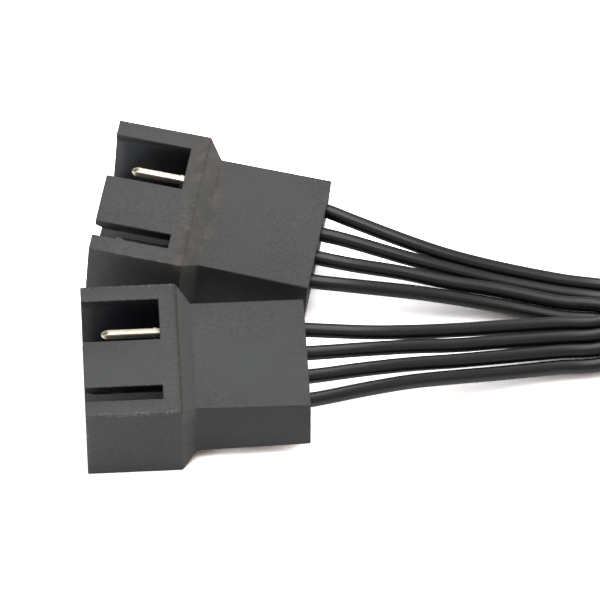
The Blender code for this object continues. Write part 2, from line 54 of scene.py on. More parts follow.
# Headers
# Two keyed headers in black glass-filled nylon. Each is moulded in one: a socket for the fan's plug, with a
# wide and a slim notch beside its tab, a sloped neck, and a slimmer body that the four terminals click into.
shell_length = 0.00815
shell_half_width = 0.0070
shell_height = 0.0081
neck_end = 0.0094
body_half_width = 0.005725
socket_depth = 0.0074
socket_half_width = 0.0054
socket_low = 0.00105
lead_in = 0.00035
lead_in_depth = 0.0008
header_length = 0.01915
edge_rounding = 0.00008
near_turn = Euler((0.0, 0.0, math.radians(3.13)))
near_header = Matrix.Translation((-0.01045, -0.00906, 0.0)) @ near_turn.to_matrix().to_4x4()
far_lean = math.radians(4.66)
far_roll = math.radians(3.5)
far_height = shell_length * math.sin(far_lean) + shell_half_width * math.sin(far_roll) * math.cos(far_lean)
far_turn = Euler((far_roll, far_lean, math.radians(-10.05)))
far_header = Matrix.Translation((-0.00947, 0.00917, far_height)) @ far_turn.to_matrix().to_4x4()
headers = {"near": near_header, "far": far_header}


def made_mesh(guide, name):
    """The guide's evaluated shape as a plain mesh object at the origin. The guide is removed."""
    bpy.context.view_layer.update()
    graph = bpy.context.evaluated_depsgraph_get()
    mesh = bpy.data.meshes.new_from_object(guide.evaluated_get(graph))
    mesh.name = name
    bpy.data.objects.remove(guide, do_unlink=True)
    piece = bpy.data.objects.new(name, mesh)
    bpy.context.scene.collection.objects.link(piece)
    return piece


def crisp_moulding(node, name, place, edge, finish, clamped=False):
    """A copy of a solid with fine rounded edges. It marks them, and each point's place in the mould.

    Clamped keeps the rounding within the shortest edge nearby, where small holes lie close together.
    """
    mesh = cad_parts[node].data.copy()
    bm = bmesh.new()
    bm.from_mesh(mesh)
    bmesh.ops.remove_doubles(bm, verts=bm.verts, dist=0.000002)
    bmesh.ops.dissolve_limit(
        bm, angle_limit=math.radians(0.6), verts=bm.verts, edges=bm.edges, use_dissolve_boundaries=False,
    )
    bm.to_mesh(mesh)
    bm.free()
    mesh.materials.clear()
    mesh.materials.append(finish)
    mesh.materials.append(finish)
    for polygon in mesh.polygons:
        polygon.material_index = 0
        polygon.use_smooth = True
    guide = bpy.data.objects.new(name + "_guide", mesh)
    bpy.context.scene.collection.objects.link(guide)
    rounding = guide.modifiers.new("rounding", "BEVEL")
    rounding.width = edge
    rounding.segments = 2
    rounding.limit_method = "ANGLE"
    rounding.angle_limit = math.radians(25)
    rounding.harden_normals = True
    rounding.use_clamp_overlap = clamped
    rounding.material = 1
    piece = made_mesh(guide, name)
    mesh = piece.data
    edges = mesh.attributes.new("rounded_edge", "FLOAT", "FACE")
    edges.data.foreach_set("value", [float(polygon.material_index) for polygon in mesh.polygons])
    for polygon in mesh.polygons:
        polygon.material_index = 0
    mesh.materials.pop(index=1)
    to_mould = place.inverted()
    spots = mesh.attributes.new("mould_place", "FLOAT_VECTOR", "POINT")
    spots.data.foreach_set("vector", [part for vert in mesh.vertices for part in to_mould @ vert.co])
    return piece


def surface_variation():
    """Fine grain, soft clouding and dust, at sizes given in metres, from a pattern's own coordinates."""
    group = bpy.data.node_groups.new("surface_variation", "ShaderNodeTree")
    for name, kind in (
        ("Place", "NodeSocketVector"), ("Grain size", "NodeSocketFloat"), ("Cloud size", "NodeSocketFloat"),
        ("Dust amount", "NodeSocketFloat"),
    ):
        group.interface.new_socket(name, in_out="INPUT", socket_type=kind)
    for name in ("Grain", "Cloud", "Dust"):
        group.interface.new_socket(name, in_out="OUTPUT", socket_type="NodeSocketFloat")
    nodes, links = group.nodes, group.links
    came, goes = nodes.new("NodeGroupInput"), nodes.new("NodeGroupOutput")
    rates = {}
    for name, socket in (("grain", "Grain size"), ("cloud", "Cloud size")):
        rates[name] = nodes.new("ShaderNodeMath")
        rates[name].operation = "DIVIDE"
        rates[name].inputs[0].default_value = 1.0
        links.new(came.outputs[socket], rates[name].inputs[1])
    grain = nodes.new("ShaderNodeTexNoise")
    grain.inputs["Detail"].default_value = 3.0
    grain.inputs["Roughness"].default_value = 0.6
    cloud = nodes.new("ShaderNodeTexNoise")
    cloud.inputs["Detail"].default_value = 4.0
    cloud.inputs["Roughness"].default_value = 0.55
    specks = nodes.new("ShaderNodeTexNoise")
    specks.inputs["Detail"].default_value = 2.0
    cut = nodes.new("ShaderNodeMapRange")
    cut.inputs["From Min"].default_value = 0.66
    cut.inputs["From Max"].default_value = 0.80
    amount = nodes.new("ShaderNodeMath")
    amount.operation = "MULTIPLY"
    for noise, name in ((grain, "grain"), (cloud, "cloud"), (specks, "grain")):
        links.new(came.outputs["Place"], noise.inputs["Vector"])
        links.new(rates[name].outputs[0], noise.inputs["Scale"])
    links.new(specks.outputs["Fac"], cut.inputs["Value"])
    links.new(cut.outputs["Result"], amount.inputs[0])
    links.new(came.outputs["Dust amount"], amount.inputs[1])
    links.new(grain.outputs["Fac"], goes.inputs["Grain"])
    links.new(cloud.outputs["Fac"], goes.inputs["Cloud"])
    links.new(amount.outputs[0], goes.inputs["Dust"])
    return group


def blank_material(name, colour, roughness, metallic=0.0):
    made = bpy.data.materials.new(name)
    made.use_nodes = True
    made.diffuse_color = (*colour, 1.0)
    shader = made.node_tree.nodes["Principled BSDF"]
    shader.inputs["Base Color"].default_value = (*colour, 1.0)
    shader.inputs["Roughness"].default_value = roughness
    shader.inputs["Metallic"].default_value = metallic
    return made, made.node_tree.nodes, made.node_tree.links, shader


def varied(nodes, links, grain, cloud, dust, source=None):
    """The shared surface variation, read from Object coordinates unless another source is given."""
    skin = nodes.new("ShaderNodeGroup")
    skin.node_tree = variation
    skin.inputs["Grain size"].default_value = grain
    skin.inputs["Cloud size"].default_value = cloud
    skin.inputs["Dust amount"].default_value = dust
    links.new(source or nodes.new("ShaderNodeTexCoord").outputs["Object"], skin.inputs["Place"])
    return skin


def mixed(nodes, links, factor, low, high, kind="RGBA"):
    """A colour or number between two values."""
    mix = nodes.new("ShaderNodeMix")
    mix.data_type = kind
    ends = {"RGBA": (6, 7, 2), "FLOAT": (2, 3, 0)}[kind]
    for socket, value in zip(ends[:2], (low, high)):
        if isinstance(value, bpy.types.NodeSocket):
            links.new(value, mix.inputs[socket])
        else:
            mix.inputs[socket].default_value = (*value, 1.0) if kind == "RGBA" else value
    links.new(factor, mix.inputs[0])
    return mix.outputs[ends[2]]


def figured(nodes, links, operation, *values):
    """One arithmetic node. A value is a socket or a number."""
    node = nodes.new("ShaderNodeMath")
    node.operation = operation
    for socket, value in zip(node.inputs, values):
        if isinstance(value, bpy.types.NodeSocket):
            links.new(value, socket)
        else:
            socket.default_value = value
    return node.outputs[0]


def product(nodes, links, *masks):
    result = masks[0]
    for mask in masks[1:]:
        result = figured(nodes, links, "MULTIPLY", result, mask)
    return result


def ramped(nodes, links, value, start, end):
    """0 at start and 1 at end, smooth between them. It falls where end lies below start."""
    node = nodes.new("ShaderNodeMapRange")
    node.interpolation_type = "SMOOTHSTEP"
    rising = end > start
    node.inputs["From Min"].default_value = start if rising else end
    node.inputs["From Max"].default_value = end if rising else start
    node.inputs["To Min"].default_value = 0.0 if rising else 1.0
    node.inputs["To Max"].default_value = 1.0 if rising else 0.0
    links.new(value, node.inputs["Value"])
    return node.outputs["Result"]


def bumped(nodes, links, shader, height, distance):
    bump = nodes.new("ShaderNodeBump")
    bump.inputs["Distance"].default_value = distance
    links.new(height, bump.inputs["Height"])
    links.new(bump.outputs["Normal"], shader.inputs["Normal"])


variation = surface_variation()


def header_nylon(name, neck_stain, crease_shade_strength, wear, warm):
    """Matte black nylon, faintly mottled, with a brown stain at the neck and pale specks on edges; painted
    shade makes a dark line along the neck's crease and darker rear-body sides, and painted light makes the
    neck's slope lighter.
    """
    made, nodes, links, shader = blank_material(name, (0.045, 0.046, 0.047), 0.55)
    skin = varied(nodes, links, 0.00013, 0.0030, 0.35)
    broad = varied(nodes, links, 0.0009, 0.0075, 0.0)
    spot = nodes.new("ShaderNodeAttribute")
    spot.attribute_name = "mould_place"
    along = nodes.new("ShaderNodeSeparateXYZ")
    links.new(spot.outputs["Vector"], along.inputs["Vector"])
    x, y, z = along.outputs["X"], along.outputs["Y"], along.outputs["Z"]
    away = figured(nodes, links, "ABSOLUTE", y)
    edge = nodes.new("ShaderNodeAttribute")
    edge.attribute_name = "rounded_edge"

    fine = varied(nodes, links, 0.0003, 0.0012, 0.0)
    mottle = ramped(nodes, links, fine.outputs["Grain"], 0.34, 0.66)
    tint = mixed(nodes, links, mottle, (0.0315, 0.033, 0.0335), (0.0485, 0.0485, 0.048))
    tint = mixed(nodes, links, ramped(nodes, links, broad.outputs["Cloud"], 0.42, 0.66), tint, warm)
    tint = mixed(nodes, links, skin.outputs["Dust"], tint, (0.075, 0.075, 0.072))
    # Painted shade: the rear body's side faces are painted darker than the shell's sides.
    painted_shade_flanks = product(
        nodes, links, ramped(nodes, links, x, neck_end - 0.0006, neck_end + 0.0002),
        ramped(nodes, links, away, body_half_width - 0.000125, body_half_width - 0.000045),
    )
    tint = mixed(nodes, links, painted_shade_flanks, tint, (0.021, 0.021, 0.023))
    stain = product(
        nodes, links, ramped(nodes, links, x, 0.0066, 0.0080), ramped(nodes, links, x, 0.0108, 0.0090),
        ramped(nodes, links, z, 0.0045, 0.0066), ramped(nodes, links, broad.outputs["Grain"], 0.40, 0.56),
    )
    patches = ramped(nodes, links, fine.outputs["Cloud"], 0.42, 0.58)
    soiled = mixed(nodes, links, patches, (0.037, 0.035, 0.026), (0.082, 0.062, 0.053))
    tint = mixed(nodes, links, figured(nodes, links, "MULTIPLY", stain, neck_stain), tint, soiled)
    # Painted light: the neck's slope, just behind the shell's top, is painted lighter.
    painted_light_slope = product(
        nodes, links, ramped(nodes, links, x, shell_length + 0.00005, shell_length + 0.00011),
        ramped(nodes, links, x, neck_end, neck_end - 0.00006), ramped(nodes, links, z, 0.0060, 0.0066),
    )
    tint = mixed(nodes, links, figured(nodes, links, "MULTIPLY", painted_light_slope, 0.45), tint, (0.068, 0.067, 0.065))
    # Painted shade: a thin dark brown line along the top's rear edge, where the shell turns down to the neck.
    beside = figured(nodes, links, "ABSOLUTE", figured(nodes, links, "SUBTRACT", x, shell_length))
    painted_crease_shade = product(
        nodes, links, ramped(nodes, links, beside, 0.00018, 0.00008),
        ramped(nodes, links, z, shell_height - 0.0003, shell_height - 0.0001),
        ramped(nodes, links, broad.outputs["Grain"], 0.30, 0.50),
    )
    crease_shade_amount = figured(nodes, links, "MULTIPLY", painted_crease_shade, crease_shade_strength)
    tint = mixed(nodes, links, crease_shade_amount, tint, (0.026, 0.022, 0.013))
    flecks = nodes.new("ShaderNodeTexNoise")
    flecks.inputs["Scale"].default_value = 2600.0
    flecks.inputs["Detail"].default_value = 4.0
    flecks.inputs["Roughness"].default_value = 0.7
    links.new(nodes.new("ShaderNodeTexCoord").outputs["Object"], flecks.inputs["Vector"])
    top_corner = product(
        nodes, links, ramped(nodes, links, away, shell_half_width - 0.00045, shell_half_width - 0.00008),
        ramped(nodes, links, z, shell_height - 0.0004, shell_height - 0.0001),
    )
    mouth_rim = product(
        nodes, links, ramped(nodes, links, x, 0.00030, 0.00005),
        ramped(nodes, links, away, shell_half_width - 0.0007, shell_half_width),
    )
    notch_edge = figured(nodes, links, "MULTIPLY", edge.outputs["Fac"], 0.6)
    outer_edge = figured(nodes, links, "MAXIMUM", top_corner, mouth_rim)
    rubbed = figured(nodes, links, "MAXIMUM", outer_edge, notch_edge)
    worn = product(
        nodes, links, rubbed, ramped(nodes, links, flecks.outputs["Fac"], 0.45, 0.66),
        ramped(nodes, links, broad.outputs["Grain"], 0.36, 0.56), ramped(nodes, links, x, 0.0080, 0.0077),
    )
    tint = mixed(nodes, links, figured(nodes, links, "MULTIPLY", worn, wear), tint, (0.24, 0.23, 0.21))
    links.new(tint, shader.inputs["Base Color"])
    links.new(mixed(nodes, links, skin.outputs["Cloud"], 0.50, 0.62, "FLOAT"), shader.inputs["Roughness"])
    bumped(nodes, links, shader, skin.outputs["Grain"], 0.000012)
    return made


def socket_nylon_painted_shade(name, mouth, front, deep):
    """The same nylon inside the socket and notches, painted darker and bluer as shade, darkest deep in the
    socket and painted lighter at the mouth.
    """
    made, nodes, links, shader = blank_material(name, deep, 0.50)
    shader.inputs["Specular IOR Level"].default_value = 0.15
    skin = varied(nodes, links, 0.00013, 0.0016, 0.2)
    spot = nodes.new("ShaderNodeAttribute")
    spot.attribute_name = "mould_place"
    along = nodes.new("ShaderNodeSeparateXYZ")
    links.new(spot.outputs["Vector"], along.inputs["Vector"])
    depth = along.outputs["X"]
    # Painted shade: the walls darken with depth, and painted light lifts them at the mouth.
    painted_depth_shade = ramped(nodes, links, depth, lead_in_depth * 2, socket_depth - 0.0006)
    tint = mixed(nodes, links, painted_depth_shade, front, deep)
    painted_mouth_light = ramped(nodes, links, depth, lead_in_depth + 0.0005, lead_in_depth)
    tint = mixed(nodes, links, painted_mouth_light, tint, mouth)
    clouded = ramped(nodes, links, skin.outputs["Cloud"], 0.62, 0.36)
    shade = figured(nodes, links, "MULTIPLY", clouded, 0.35)
    links.new(mixed(nodes, links, shade, tint, (0.002, 0.002, 0.003)), shader.inputs["Base Color"])
    bumped(nodes, links, shader, skin.outputs["Grain"], 0.000008)
    return made


def line_socket(shell, place, finish):
    """Gives the socket's and notches' walls the painted socket shade, but not the floor or the rounded top
    edges.
    """
    shell.data.materials.append(finish)
    to_mould = place.inverted()
    spots = [to_mould @ vert.co for vert in shell.data.vertices]
    margin = lead_in + 0.00005
    for polygon in shell.data.polygons:
        corners = [spots[n] for n in polygon.vertices]
        inner = all(
            p.x < socket_depth + 0.0001 and abs(p.y) < socket_half_width + margin
            and p.z > socket_low - margin for p in corners
        )
        behind_mouth = max(p.x for p in corners) > 0.0002
        below_top = min(p.z for p in corners) < shell_height - 0.0003
        above_floor = max(p.z for p in corners) > socket_low + 0.0002
        if inner and behind_mouth and below_top and above_floor:
            polygon.material_index = 1


# Painted light and shade: the far header's socket is painted lighter than the near one's.
socket_painted_shades = {
    "near": socket_nylon_painted_shade(
        "near_socket_painted_shade",
        mouth=(0.016, 0.017, 0.021), front=(0.007, 0.007, 0.011), deep=(0.005, 0.005, 0.009),
    ),
    "far": socket_nylon_painted_shade(
        "far_socket_painted_shade",
        mouth=(0.052, 0.055, 0.063), front=(0.029, 0.032, 0.036), deep=(0.013, 0.013, 0.016),
    ),
}
header_finishes = {
    "near": header_nylon(
        "near_header_nylon", neck_stain=0.10, crease_shade_strength=1.0, wear=0.62, warm=(0.041, 0.043, 0.043),
    ),
    "far": header_nylon(
        "far_header_nylon", neck_stain=0.9, crease_shade_strength=0.35, wear=0.25, warm=(0.047, 0.044, 0.043),
    ),
}
for side in ("near", "far"):
    node = side + "_male_housing"
    shell = crisp_moulding(node, node + "_moulded", headers[side], edge_rounding, header_finishes[side])
    line_socket(shell, headers[side], socket_painted_shades[side])
    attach(shell, "root")
    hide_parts(node)


# Terminals
# Each header holds four: a square pin folded from gold-plated phosphor bronze strip, with a pinched point,
# a collar, a box with its seam on top, a sprung tang below, and two crimps, on the strands and on the sheath.
contact_pitch = 0.00254
pin_height = 0.0054
row_height = 0.00515
box_start = 0.0092
box_end = 0.0134
wire_start = 0.0152
pin_tip = 0.00165
pin_half = 0.00032
pin_corner = 0.00008
seam_gap = 0.00003
collar_start = 0.00612
collar_end = 0.00638
tang_root = 0.0115
tang_tip = 0.0131
strand_crimp_start = 0.01400
strand_crimp_end = 0.01480
sheath_crimp_start = 0.01535
sheath_crimp_end = 0.01660
step_run = 0.00001

plate, nodes, links, shader = blank_material("gold_plate", (0.86, 0.74, 0.50), 0.24, 1.0)
skin = varied(nodes, links, 0.00018, 0.0016, 0.0)
tint = mixed(nodes, links, skin.outputs["Cloud"], (0.94, 0.885, 0.765), (0.80, 0.69, 0.53))
# Painted shade: the seams at the pin's pinched point and over the strand crimp are painted dark brown.
fold_shade = nodes.new("ShaderNodeAttribute")
fold_shade.attribute_name = "fold"
tint = mixed(nodes, links, fold_shade.outputs["Fac"], tint, (0.22, 0.13, 0.07))
links.new(tint, shader.inputs["Base Color"])
links.new(mixed(nodes, links, skin.outputs["Grain"], 0.22, 0.40, "FLOAT"), shader.inputs["Roughness"])
bumped(nodes, links, shader, skin.outputs["Grain"], 0.000004)


def folded_ring(bm, x, y, z, half_width, half_height, corner, dent, gap):
    """One section of folded strip across x: a chamfered rectangle whose top seam can sink by a dent."""
    w, h, c = half_width, half_height, corner
    outline = [
        (0, h - dent), (-gap, h), (c - w, h), (-w, h - c), (-w, c - h), (c - w, -h),
        (w - c, -h), (w, c - h), (w, h - c), (w - c, h), (gap, h),
    ]
    return [bm.verts.new((x, y + across, z + up)) for across, up in outline]


def folded_strip(bm, y, sections):
    """One closed body through folded sections: (x, height, half width, half height, corner, dent, gap)."""
    rings = [folded_ring(bm, s[0], y, s[1], *s[2:]) for s in sections]
    bm.faces.new(rings[0])
    bm.faces.new(rings[-1][::-1])
    for first, second in zip(rings, rings[1:]):
        for i in range(len(first)):
            k = (i + 1) % len(first)
            bm.faces.new((first[k], first[i], second[i], second[k]))


def block_between(bm, first, second):
    """A closed block between two upright sections: (x, y, z, half width, half height)."""
    rings = []
    for x, y, z, half, tall in (first, second):
        corners = ((-half, -tall), (half, -tall), (half, tall), (-half, tall))
        rings.append([bm.verts.new((x, y + across, z + up)) for across, up in corners])
    bm.faces.new(rings[0][::-1])
    bm.faces.new(rings[1])
    for i in range(4):
        k = (i + 1) % 4
        bm.faces.new((rings[0][i], rings[0][k], rings[1][k], rings[1][i]))


def open_barrel(bm, y, z, start, end, inner, outer, steps=14):
    """A crimp barrel: two wings rolled up round the wire from a flat below, not quite meeting on top."""
    rims = []
    for x in (start, end):
        for radius in (inner, outer):
            rims.append([
                bm.verts.new((x, y + radius * math.sin(turn), z - radius * math.cos(turn)))
                for turn in (math.radians(-168 + 336 * n / steps) for n in range(steps + 1))
            ])
    front_in, front_out, back_in, back_out = rims
    for n in range(steps):
        bm.faces.new((front_in[n], front_in[n + 1], front_out[n + 1], front_out[n]))
        bm.faces.new((back_out[n], back_out[n + 1], back_in[n + 1], back_in[n]))
        bm.faces.new((front_out[n], front_out[n + 1], back_out[n + 1], back_out[n]))
        bm.faces.new((back_in[n], back_in[n + 1], front_in[n + 1], front_in[n]))
    for n in (0, steps):
        bm.faces.new((front_in[n], front_out[n], back_out[n], back_in[n]))


def placed_piece(bm, name, place, finish, rounding=0.0):
    """A mesh in its final place, its normals made outward, with an optional fine rounding of its edges."""
    bmesh.ops.recalc_face_normals(bm, faces=bm.faces)
    bmesh.ops.transform(bm, matrix=place, verts=bm.verts)
    mesh = bpy.data.meshes.new(name)
    bm.to_mesh(mesh)
    bm.free()
    mesh.materials.append(finish)
    for polygon in mesh.polygons:
        polygon.use_smooth = True
    mesh.set_sharp_from_angle(angle=math.radians(35))
    piece = bpy.data.objects.new(name, mesh)
    bpy.context.scene.collection.objects.link(piece)
    if rounding:
        finer = piece.modifiers.new("rounding", "BEVEL")
        finer.width = rounding
        finer.segments = 2
        finer.limit_method = "ANGLE"
        finer.angle_limit = math.radians(30)
    return piece


def mark_fold_shade(piece, place, spans):
    """Marks painted shade in the seams: a point's fold value is 1 where it lies in one of the given boxes."""
    to_mould = place.inverted()
    values = []
    for vert in piece.data.vertices:
        spot = to_mould @ vert.co
        values.append(float(any(
            all(low[n] <= spot[n] <= high[n] for n in range(3)) for low, high in spans
        )))
    piece.data.attributes.new("fold", "FLOAT", "POINT").data.foreach_set("value", values)


def male_terminal(name, place, y, back):
    """One terminal, its point set back from the usual place by a given length."""
    p, r = pin_height, row_height
    tip = pin_tip + back
    pin = (pin_half, pin_half, pin_corner, 0.0, seam_gap)
    collar = (pin_half + 0.00004, pin_half + 0.00020, pin_corner, 0.0, seam_gap)
    box = (0.00065, 0.00080, 0.00012, 0.00004, 0.00004)
    waist = (0.00040, 0.00030, 0.00010, 0.0, 0.00004)
    strand_crimp = (0.00052, 0.00050, 0.00014, 0.00016, 0.00016)
    bm = bmesh.new()
    folded_strip(bm, y, [
        (tip, p, 0.00012, 0.00010, 0.00004, 0.0, 0.00002),
        (tip + 0.00015, p, 0.00022, 0.00020, 0.00005, 0.00006, 0.00007),
        (tip + 0.00035, p, 0.00031, 0.00029, 0.00006, 0.00015, 0.00016),
        (tip + 0.00057, p, pin_half, pin_half, 0.00007, 0.00008, 0.00008),
        (tip + 0.00067, p, *pin),
        (collar_start, p, *pin),
        (collar_start + step_run, p - 0.00016, *collar),
        (collar_end - step_run, p - 0.00016, *collar),
        (collar_end, p, *pin),
        (box_start, p, *pin),
        (box_start + step_run, r, *box),
        (box_end, r, *box),
        (box_end + step_run, r - 0.00015, *waist),
        (strand_crimp_start - 0.00005, r - 0.00015, *waist),
        (strand_crimp_start, r, *strand_crimp),
        (strand_crimp_end, r, *strand_crimp),
        (strand_crimp_end + 0.00010, r, 0.00036, 0.00036, 0.00010, 0.0, 0.00004),
        (wire_start + 0.00005, r, 0.00034, 0.00034, 0.00010, 0.0, 0.00004),
    ])
    block_between(
        bm, (tang_root, y, r - 0.00080, 0.00035, 0.00010), (tang_tip, y, r - 0.00155, 0.00035, 0.00010),
    )
    block_between(
        bm, (strand_crimp_start, y, r - 0.00060, 0.00030, 0.00014),
        (sheath_crimp_start + 0.00015, y, r - 0.00068, 0.00030, 0.00008),
    )
    open_barrel(bm, y, r - 0.00003, sheath_crimp_start, sheath_crimp_end, 0.00065, 0.00079)
    piece = placed_piece(bm, name, place, plate)
    mark_fold_shade(piece, place, [
        ((0.00170, y - 0.00004, p + 0.00005), (0.00250, y + 0.00004, p + 0.0003)),
        (
            (strand_crimp_start - 0.00005, y - 0.00004, r),
            (strand_crimp_end + 0.00010, y + 0.00004, r + 0.0004),
        ),
    ])
    return piece


for side, seated_back in (("near", 0.0), ("far", 0.0002)):
    for i in range(4):
        node = f"{side}_male_terminal_{i + 1}"
        terminal = male_terminal(node + "_plated", headers[side], (1.5 - i) * contact_pitch, seated_back)
        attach(terminal, "root")
        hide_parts(node)


# Plug
# The female end for the header on the board: a black nylon block with two guide ribs, and four folded
# receptacles, each crimped on one wire from either header.
plug_rear = Vector((0.0800, -0.01134))
plug_wire_middle = 0.00255
plug_wire_depth = 0.0026
plug_place = Matrix.Translation((plug_rear.x, plug_rear.y, 0.0))

plug_nylon, nodes, links, shader = blank_material("plug_nylon", (0.045, 0.046, 0.047), 0.55)
skin = varied(nodes, links, 0.00013, 0.0030, 0.35)
tint = mixed(nodes, links, skin.outputs["Cloud"], (0.038, 0.040, 0.041), (0.051, 0.051, 0.050))
edge = nodes.new("ShaderNodeAttribute")
edge.attribute_name = "rounded_edge"
worn = product(nodes, links, edge.outputs["Fac"], ramped(nodes, links, skin.outputs["Grain"], 0.52, 0.66))
tint = mixed(nodes, links, skin.outputs["Dust"], tint, (0.075, 0.075, 0.072))
tint = mixed(nodes, links, figured(nodes, links, "MULTIPLY", worn, 0.5), tint, (0.16, 0.16, 0.15))
links.new(tint, shader.inputs["Base Color"])
links.new(mixed(nodes, links, skin.outputs["Cloud"], 0.48, 0.60, "FLOAT"), shader.inputs["Roughness"])
bumped(nodes, links, shader, skin.outputs["Grain"], 0.000012)

plug_block = crisp_moulding(
    "plug_housing", "plug_housing_moulded", plug_place, 0.00010, plug_nylon, clamped=True,
)
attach(plug_block, "root")
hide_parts("plug_housing")
for i in range(4):
    node = f"plug_contact_{i + 1}"
    contact = crisp_moulding(node, node + "_plated", plug_place, 0.00006, plate, clamped=True)
    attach(contact, "root")
    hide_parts(node)


# Cable tie
# A small black nylon strap round the hank's waist. Its toothed end is pulled up through the slot in its own
# head, where a pawl holds it, and is cut off short.
wire_diameter = 0.00128
wire_gap = 0.00133
hank_lift = 0.00002
hank_middle = Vector((0.0583, -0.00572))
run_spacing = 0.00562
strap_width = 0.0024
strap_thickness = 0.0007
ribbon_half = 1.5 * wire_gap + wire_diameter / 2
strap_reach = run_spacing + ribbon_half + 0.0003
strap_low = strap_thickness + hank_lift
strap_high = strap_low + 0.0003 + wire_diameter + wire_gap
head_y = hank_middle.y - strap_reach / 2
head_low, head_high = strap_high + 0.35 * strap_thickness, strap_high + 0.0022
head_half_width, head_half_length, slot_half_width = 0.0017, 0.0019, 0.00128
slot_near, slot_far = 0.00045, 0.00125

strap_nylon, nodes, links, shader = blank_material("tie_nylon", (0.02, 0.02, 0.022), 0.42)
skin = varied(nodes, links, 0.0002, 0.0030, 0.2)
tint = mixed(nodes, links, skin.outputs["Cloud"], (0.014, 0.014, 0.016), (0.024, 0.024, 0.026))
links.new(mixed(nodes, links, skin.outputs["Dust"], tint, (0.06, 0.06, 0.06)), shader.inputs["Base Color"])
links.new(mixed(nodes, links, skin.outputs["Cloud"], 0.34, 0.48, "FLOAT"), shader.inputs["Roughness"])
bumped(nodes, links, shader, skin.outputs["Grain"], 0.000006)


def strap_tree():
    """Sweeps a flat strap with rounded edges along a line across X and sets teeth on its inner face."""
    tree = bpy.data.node_groups.new("strap_and_teeth", "GeometryNodeTree")
    for name, kind in (
        ("Geometry", "NodeSocketGeometry"), ("Width", "NodeSocketFloat"), ("Thickness", "NodeSocketFloat"),
        ("Tooth pitch", "NodeSocketFloat"), ("Nylon", "NodeSocketMaterial"),
    ):
        tree.interface.new_socket(name, in_out="INPUT", socket_type=kind)
    tree.interface.new_socket("Geometry", in_out="OUTPUT", socket_type="NodeSocketGeometry")
    nodes, links = tree.nodes, tree.links
    came, goes = nodes.new("NodeGroupInput"), nodes.new("NodeGroupOutput")

    def scaled(socket, factor):
        node = nodes.new("ShaderNodeMath")
        node.operation = "MULTIPLY"
        node.inputs[1].default_value = factor
        links.new(socket, node.inputs[0])
        return node.outputs[0]

    to_curve = nodes.new("GeometryNodeMeshToCurve")
    links.new(came.outputs["Geometry"], to_curve.inputs["Mesh"])
    level = nodes.new("GeometryNodeSetCurveNormal")
    level.mode = "FREE"
    level.inputs["Normal"].default_value = (1.0, 0.0, 0.0)
    links.new(to_curve.outputs["Curve"], level.inputs["Curve"])
    profile = nodes.new("GeometryNodeCurvePrimitiveQuadrilateral")
    links.new(came.outputs["Width"], profile.inputs["Width"])
    links.new(came.outputs["Thickness"], profile.inputs["Height"])
    soften = nodes.new("GeometryNodeFilletCurve")
    soften.mode = "POLY"
    soften.inputs["Count"].default_value = 3
    links.new(scaled(came.outputs["Thickness"], 0.3), soften.inputs["Radius"])
    links.new(profile.outputs["Curve"], soften.inputs["Curve"])
    sweep = nodes.new("GeometryNodeCurveToMesh")
    sweep.inputs["Fill Caps"].default_value = True
    links.new(level.outputs["Curve"], sweep.inputs["Curve"])
    links.new(soften.outputs["Curve"], sweep.inputs["Profile Curve"])

    stations = nodes.new("GeometryNodeCurveToPoints")
    stations.mode = "LENGTH"
    links.new(level.outputs["Curve"], stations.inputs["Curve"])
    links.new(came.outputs["Tooth pitch"], stations.inputs["Length"])
    inward = nodes.new("ShaderNodeVectorMath")
    inward.operation = "CROSS_PRODUCT"
    inward.inputs[0].default_value = (1.0, 0.0, 0.0)
    links.new(stations.outputs["Tangent"], inward.inputs[1])
    to_face = nodes.new("ShaderNodeVectorMath")
    to_face.operation = "SCALE"
    links.new(inward.outputs[0], to_face.inputs[0])
    links.new(scaled(came.outputs["Thickness"], 0.5), to_face.inputs["Scale"])
    shift = nodes.new("GeometryNodeSetPosition")
    links.new(stations.outputs["Points"], shift.inputs["Geometry"])
    links.new(to_face.outputs[0], shift.inputs["Offset"])
    tooth = nodes.new("GeometryNodeMeshCylinder")
    tooth.inputs["Vertices"].default_value = 3
    links.new(scaled(came.outputs["Width"], 0.62), tooth.inputs["Depth"])
    links.new(scaled(came.outputs["Tooth pitch"], 0.25), tooth.inputs["Radius"])
    lie = nodes.new("GeometryNodeTransform")
    lie.inputs["Rotation"].default_value = (0.0, math.radians(90), 0.0)
    links.new(tooth.outputs["Mesh"], lie.inputs["Geometry"])
    turn = nodes.new("FunctionNodeAlignRotationToVector")
    turn.axis = "Z"
    turn.pivot_axis = "X"
    links.new(inward.outputs[0], turn.inputs["Vector"])
    teeth = nodes.new("GeometryNodeInstanceOnPoints")
    links.new(shift.outputs["Geometry"], teeth.inputs["Points"])
    links.new(lie.outputs["Geometry"], teeth.inputs["Instance"])
    links.new(turn.outputs["Rotation"], teeth.inputs["Rotation"])

    whole = nodes.new("GeometryNodeJoinGeometry")
    links.new(teeth.outputs["Instances"], whole.inputs["Geometry"])
    links.new(sweep.outputs["Mesh"], whole.inputs["Geometry"])
    realize = nodes.new("GeometryNodeRealizeInstances")
    links.new(whole.outputs["Geometry"], realize.inputs["Geometry"])
    finish = nodes.new("GeometryNodeSetMaterial")
    links.new(realize.outputs["Geometry"], finish.inputs["Geometry"])
    links.new(came.outputs["Nylon"], finish.inputs["Material"])
    links.new(finish.outputs["Geometry"], goes.inputs["Geometry"])
    return tree


def grown_along(name, points, tree, values, closed=False):
    """What a node tree grows along a line of points, as a mesh. Values go to the inputs of those names."""
    line = bpy.data.meshes.new(name + "_line")
    joins = [(n, n + 1) for n in range(len(points) - 1)]
    line.from_pydata(points, joins + ([(len(points) - 1, 0)] if closed else []), [])
    guide = bpy.data.objects.new(name + "_line", line)
    bpy.context.scene.collection.objects.link(guide)
    growth = guide.modifiers.new("growth", "NODES")
    growth.node_group = tree
    for socket in tree.interface.items_tree:
        if socket.in_out == "INPUT" and socket.name in values:
            growth[socket.identifier] = values[socket.name]
    return made_mesh(guide, name)


